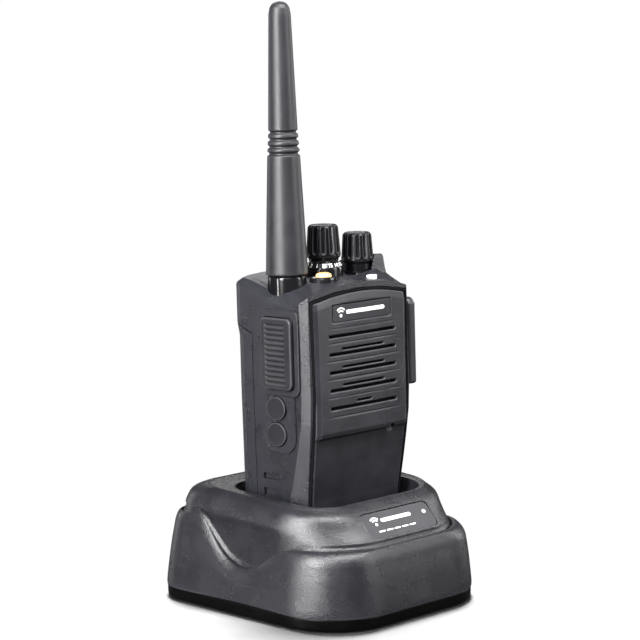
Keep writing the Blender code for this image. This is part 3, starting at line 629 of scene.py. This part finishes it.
def upper_ring(height, slope, plan):
    """A ring of the upper body, kept clear of the bead."""
    ring = []
    for x, y in plan_ring(plan):
        ring.append((x, y, max(height + slope * y, blend(SWOOP, y) + BEAD_CLEAR)))
    return ring


def cradle_rings():
    """Rings from the skirt's foot, up and over the rim, down to the pocket's floor."""
    base = plan_ring(BASE_PLAN)
    rings = [
        [(x * SKIRT_FOOT_SHARE, y * SKIRT_FOOT_SHARE, SKIRT_FOOT) for x, y in base],
        [(x, y, SKIRT_EDGE) for x, y in base],
        middle_ring(),
    ]
    rings += [lip_ring(*row) for row in LIP]
    rings += [bead_ring(*row) for row in BEAD]
    rings += [upper_ring(*row) for row in UPPER_LEVELS]
    rings.append([(x, y, POCKET_FLOOR - math.tan(LEAN) * y) for x, y in plan_ring(POCKET_FLOOR_PLAN)])
    return rings


def label_frame():
    """The middle and tilt of the sloping front face that carries the label."""
    ends = []
    for (height, slope, _), y in ((UPPER_LEVELS[0], LABEL_LOW_Y), (UPPER_LEVELS[2], LABEL_HIGH_Y)):
        ends.append(Vector((0.0, y, height + slope * y)))
    low, high = ends
    along = high - low
    centre = (low + high) / 2 + Vector(LABEL_SHIFT)
    return shift(*centre) @ Matrix.Rotation(math.atan2(along.z, along.y), 4, "X")


def make_cradle_shell(label):
    shell = mesh_from(loft(spread_rings(cradle_rings(), 4)), "cradle_shell")
    recess = slab(rounded_rect(*LABEL_RECESS), RECESS_FLOOR, 4.0, label)
    show("cradle_shell", cut(shell, [recess]), GRAIN, "charger", ["charger_housing"])


def make_tray():
    rings = []
    for inset, z in TRAY_STEPS:
        rings.append([(x, y, z) for x, y in plan_ring(shrink(BASE_PLAN, inset))])
    tray = mesh_from(loft(spread_rings(rings, 3)), "cradle_tray")
    show("cradle_tray", tray, TRAY, "charger", ["charger_base"])


def make_label(label):
    """The sunk label with a printed sign, and a row of dashes in place of words."""
    film = slab(rounded_rect(*LABEL_FILM), LABEL_BACK, LABEL_FACE, label)
    show("cradle_label", moulded(film, 0.16, 1), LABEL, "charger", ["charger_label"])
    bars = [(12.0, 0.3, 8.6, 0.8)]
    bars += [(1.0 + 4.4 * i, -4.4, 1.7, 0.3) for i in range(5)]
    mark = printed_mark(MARK_SIZE, bars, LABEL_FACE, label @ shift(-12.6, 1.4, 0.0))
    show("cradle_print", mark, WHITE, "charger")


def make_lamp(label):
    profile = [(0.0, 0.2), (0.7, 0.15), (1.05, -0.1), (1.05, -5.0), (0.0, -5.0)]
    lamp = lathe(fillet(profile, 0.3), "charge_lamp", label @ shift(*LAMP_SPOT, 0.0), 40)
    show("charge_lamp", lamp, LAMP, "charger", ["charge_light"])


def make_cradle():
    label = label_frame()
    make_cradle_shell(label)
    make_tray()
    make_label(label)
    make_lamp(label)


# ---------------------------------------------------------------- radio
def copy_bevelled(node, name, material, width):
    """A CAD node's own shape with narrow rounded edges."""
    mesh = bevelled(nodes[node].data.copy(), width)
    show(name, mesh, material, body_of(nodes[node])[0], [node])


def copy_moulded(node, name, material, voxel, passes, tools=()):
    """A CAD node's own shape with softly moulded edges."""
    mesh = moulded(nodes[node].data.copy(), voxel, passes, tools)
    show(name, mesh, material, body_of(nodes[node])[0], [node])


def make_shells():
    copy_bevelled("chassis", "chassis_shell", FINE_GRAIN, 0.2)
    copy_bevelled("battery_pack", "battery_shell", FINE_GRAIN, 0.2)
    copy_moulded("front_panel", "panel_shell", SATIN, 0.24, 1, louvre_lines())
    copy_bevelled("panel_bezel", "bezel_frame", BLACK, 0.15)
    copy_moulded("jack_cover", "jack_lid", SATIN, 0.3, 3)
    copy_moulded("ptt_key", "talk_bar", RUBBER, 0.22, 30)
    copy_moulded("side_button_upper", "side_dome_upper", RUBBER, 0.14, 3)
    copy_moulded("side_button_lower", "side_dome_lower", RUBBER, 0.14, 3)
    copy_moulded("status_lens", "status_window", LENS, 0.09, 16)


def line_cut(x0, x1, z0, z1):
    """A shallow scored line in the panel's face."""
    across = rounded_rect((x1 - x0) / 2, (z1 - z0) / 2, 0.2, 4)
    stand = shift((x0 + x1) / 2, PANEL_FACE_Y, (z0 + z1) / 2) @ UPRIGHT
    return slab(across, 0.0, 3.0, RADIO @ stand)


def louvre_lines():
    lines = [line_cut(*LOUVRE_SPAN, z - LOUVRE_HALF, z + LOUVRE_HALF) for z in LOUVRE_LINES]
    lines.append(line_cut(*SIDE_LINE_SPAN, LOUVRE_LINES[-1], LOUVRE_LINES[0]))
    return lines


def turned_on_radio(name, profile, centre, soften, step, columns=96):
    """A turned mesh that stands on the radio, with softened corners and no long stretches."""
    return lathe(resample(fillet(profile, soften), step), name, RADIO @ shift(*centre, 0.0), columns)


def make_antenna():
    profile = [
        (0.0, 227.3), (1.6, 227.0), (3.0, 226.2), (4.0, 224.6), (4.45, 222.0), (5.0, 205.0), (5.85, 177.2),
    ]
    for z, outer in WHIP_RINGS:
        groove = outer - 0.75
        profile += [(outer, z + 0.75), (groove, z + 0.4), (groove, z - 0.4), (outer + 0.06, z - 0.75)]
    profile += [(6.6, 165.5), (7.6, 142.0), (8.4, 121.0), (8.5, 119.0), (8.1, 118.6), (0.0, 118.6)]
    whip = turned_on_radio("whip", profile, ANTENNA, 0.5, 2.0, 128)
    show("whip", whip, WHIP, "radio", ["antenna_whip"])
    profile = [(0.0, 118.25), (7.3, 118.25), (7.75, 117.8), (7.75, 106.9), (7.2, 106.4), (0.0, 106.4)]
    collar = turned_on_radio("collar", profile, ANTENNA, 0.3, 1.0, 128)
    show("collar", collar, BLACK, "radio", ["antenna_collar"])


def fluted(side, foot):
    """A surface rule: upright slots with round lower ends and a fine rim, in a tapered side."""
    pitch = 2 * math.pi / FLUTES

    def shape(r, z, angle):
        wall = side(z)
        if r < wall - 1.0 or z < foot - 0.8:
            return r
        across = wall * ((angle % pitch) - pitch / 2)
        away = math.hypot(across, min(z - foot - FLUTE_HALF, 0.0))
        sunk = ease(min(max((FLUTE_HALF - away) / FLUTE_BLEND, 0.0), 1.0))
        rim = RIM_HEIGHT * math.exp(-((away - FLUTE_HALF - RIM_OUT) / RIM_WIDTH) ** 2)
        outer = r + rim if r > wall - 0.5 else r
        return min(outer, wall - FLUTE_DEPTH * sunk + rim)

    return shape


def make_knob(name, node, body, centre, low, shoulder, top, radius, neck):
    """A hollow knob: its radius is the one at the top of its side."""
    def side(z):
        return radius + KNOB_TAPER * (top - z)

    profile = [
        (0.0, top - 0.35), (radius - 2.4, top - 0.3), (radius - 1.8, top), (radius - 0.9, top - 0.25),
        (radius - 0.2, top - 1.2), (side(shoulder + 0.6), shoulder + 0.6),
        (side(shoulder) - 0.4, shoulder), (neck, shoulder - 0.3), (neck, low),
        (3.15, low), (3.15, top - 3.4), (0.0, top - 3.4),
    ]
    smooth = resample(fillet(profile, 0.35), 0.3)
    mesh = lathe(smooth, name, RADIO @ shift(*centre, 0.0), 288, fluted(side, shoulder + 1.6))
    show(name, mesh, KNOB, body, [node])


def make_knobs():
    make_knob("selector_knob", "channel_knob", "channel_selector", CHANNEL,
              low=122.2, shoulder=123.7, top=137.2, radius=6.4, neck=6.1)
    make_knob("loudness_knob", "volume_knob", "volume_selector", VOLUME,
              low=116.1, shoulder=120.4, top=132.6, radius=6.1, neck=5.8)


def make_number_ring():
    profile = [(0.0, 121.8), RING_HIGH, RING_LOW, (7.7, 115.9), (0.0, 115.9)]
    ring = turned_on_radio("number_ring", profile, CHANNEL, 0.25, 0.6)
    show("number_ring", ring, BLACK, "radio", ["digit_ring"])


def make_call_button():
    profile = [(0.0, 119.0), (1.9, 118.85), (2.9, 118.4), (3.3, 117.6), (3.3, 111.6), (0.0, 111.6)]
    button = turned_on_radio("call_button", profile, EMERGENCY, 0.4, 0.5, 64)
    show("call_button", button, ORANGE, "emergency_key", ["emergency_button"])


def number_mesh(number):
    """A number as a thin flat mesh about the origin."""
    text = bpy.data.curves.new("digit", "FONT")
    text.body = str(number)
    text.size = NUMBER_SIZE * MM
    text.extrude = 0.05 * MM
    text.align_x = "CENTER"
    text.align_y = "CENTER"
    text.space_character = 0.85
    return baked(put("digit", text))


def make_numbers():
    """Channel numbers round the sloping ring below the channel knob."""
    across = Vector((0.0, 1.0, 0.0))
    slope = Vector((RING_HIGH[0] - RING_LOW[0], 0.0, RING_HIGH[1] - RING_LOW[1])).normalized()
    place = Matrix((across, slope, across.cross(slope))).transposed().to_4x4()
    place.translation = Vector(NUMBER_SPOT) * MM
    prints = []
    for number in range(1, CHANNELS + 1):
        turn = Matrix.Rotation(math.radians(-360.0 / CHANNELS * number - 135.0), 4, "Z")
        mesh = number_mesh(number)
        mesh.transform(RADIO @ shift(*CHANNEL, 0.0) @ turn @ place)
        prints.append(mesh)
    show("channel_numbers", merged(prints, "channel_numbers"), WHITE, "radio")


def make_badge():
    """The small sunk plate above the grille, with a printed sign in place of a name."""
    stand = RADIO @ shift(0.0, PANEL_FACE_Y, BADGE_Z) @ UPRIGHT
    plate = slab(rounded_rect(16.4, 3.25, 0.9), -0.12, 0.0, stand)
    show("badge", moulded(plate, 0.05, 1), SATIN, "radio", ["badge_plate"])
    bars = [(14.0, 0.2, 11.0, 0.8)]
    mark = printed_mark(MARK_SIZE, bars, 0.0, stand @ shift(-12.0, 0.0, 0.0))
    show("badge_print", mark, WHITE, "radio")


def make_radio():
    make_shells()
    make_badge()
    make_antenna()
    make_knobs()
    make_number_ring()
    make_call_button()
    make_numbers()


def paint_frame():
    """Finishes for the CAD nodes that are shown as they are."""
    finishes = (
        (STEEL, ("speaker", "microphone", "radio_shield", "ptt_switch", "channel_switch", "volume_control",
                 "cover_screw", "chassis_screw_left", "chassis_screw_right", "charger_screw_1",
                 "charger_screw_2", "charger_screw_3", "charger_screw_4")),
        (GOLD, ("battery_contact_left", "battery_contact_right", "charger_pin_left", "charger_pin_right")),
        (BOARD, ("main_board", "charger_board")),
        (CLOTH, ("grille_cloth",)),
        (BLACK, ("emergency_bezel", "jack_block", "dc_inlet")),
        (SATIN, ("battery_latch",)),
        (RUBBER, ("side_keypad", "charger_foot_1", "charger_foot_2", "charger_foot_3", "charger_foot_4")),
    )
    for material, names in finishes:
        for name in names:
            paint(nodes[name], material)


# ---------------------------------------------------------------- studio
def around(azimuth, elevation, distance):
    """A place seen from the object at this compass angle and height."""
    a, e = math.radians(azimuth), math.radians(elevation)
    return Vector((math.sin(a) * math.cos(e), -math.cos(a) * math.cos(e), math.sin(e))) * distance


def aim(obj, location, target):
    obj.location = location
    obj.rotation_euler = (Vector(target) - Vector(location)).to_track_quat("-Z", "Y").to_euler()


def make_camera():
    data = bpy.data.cameras.new("camera")
    data.sensor_width = SENSOR_WIDTH
    data.lens = FOCAL_LENGTH
    camera = put("camera", data)
    aim(camera, Vector(VIEW_TARGET) + around(VIEW_AZIMUTH, VIEW_ELEVATION, VIEW_DISTANCE), VIEW_TARGET)
    bpy.context.scene.camera = camera


def link_light(light, floor, state):
    """Lets a light reach only the floor, or everything but the floor."""
    linked = bpy.data.collections.new(light.name + "_linked")
    linked.objects.link(floor)
    linked.collection_objects[0].light_linking.link_state = state
    light.light_linking.receiver_collection = linked


def softbox(name, location, width, height, power, floor):
    """A rectangular light that leaves the floor to the overhead light."""
    data = bpy.data.lights.new(name, "AREA")
    data.shape = "RECTANGLE"
    data.size = width
    data.size_y = height
    data.energy = power
    light = put(name, data)
    aim(light, location, LIGHT_TARGET)
    link_light(light, floor, "EXCLUDE")


def overhead_sun(floor):
    """Lights only the floor, so that the object's shadow stays short and the floor stays white."""
    data = bpy.data.lights.new("overhead", "SUN")
    data.energy = 3.5
    data.angle = math.radians(14.0)
    sun = put("overhead", data)
    aim(sun, around(140.0, 73.0, 2.0), (0.0, 0.0, 0.0))
    link_light(sun, floor, "INCLUDE")


def make_floor():
    work = bmesh.new()
    bmesh.ops.create_grid(work, x_segments=2, y_segments=2, size=60000.0)
    floor = put("studio_floor", mesh_from(work, "studio_floor"))
    paper = plastic("floor_paper", (0.88, 0.88, 0.88), (0.92, 0.92, 0.92), rough=0.8,
                    grain=300.0, depth=0.01, edge=0.0, gloss=0.1)
    paint(floor, paper)
    floor.visible_glossy = False
    floor.visible_diffuse = False
    return floor


def make_surround():
    """A dim even room for reflections, seen as white by the camera."""
    world = bpy.data.worlds.new("studio")
    bpy.context.scene.world = world
    world.use_nodes = True
    tree = world.node_tree
    surround = tree.nodes["Background"]
    surround.inputs["Color"].default_value = (1.0, 1.0, 1.0, 1.0)
    surround.inputs["Strength"].default_value = 0.09
    seen = tree.nodes.new("ShaderNodeBackground")
    seen.inputs["Color"].default_value = (1.0, 1.0, 1.0, 1.0)
    seen.inputs["Strength"].default_value = 1.05
    path = tree.nodes.new("ShaderNodeLightPath")
    mix = tree.nodes.new("ShaderNodeMixShader")
    tree.links.new(path.outputs["Is Camera Ray"], mix.inputs[0])
    tree.links.new(surround.outputs[0], mix.inputs[1])
    tree.links.new(seen.outputs[0], mix.inputs[2])
    tree.links.new(mix.outputs[0], tree.nodes["World Output"].inputs["Surface"])

def make_studio():
    floor = make_floor()
    make_surround()
    overhead_sun(floor)
    for name, azimuth, elevation, distance, width, height, power in SOFTBOXES:
        softbox(name, around(azimuth, elevation, distance), width, height, power, floor)
    bpy.context.scene.view_settings.view_transform = "Standard"


make_cradle()
make_radio()
paint_frame()
make_camera()
make_studio()
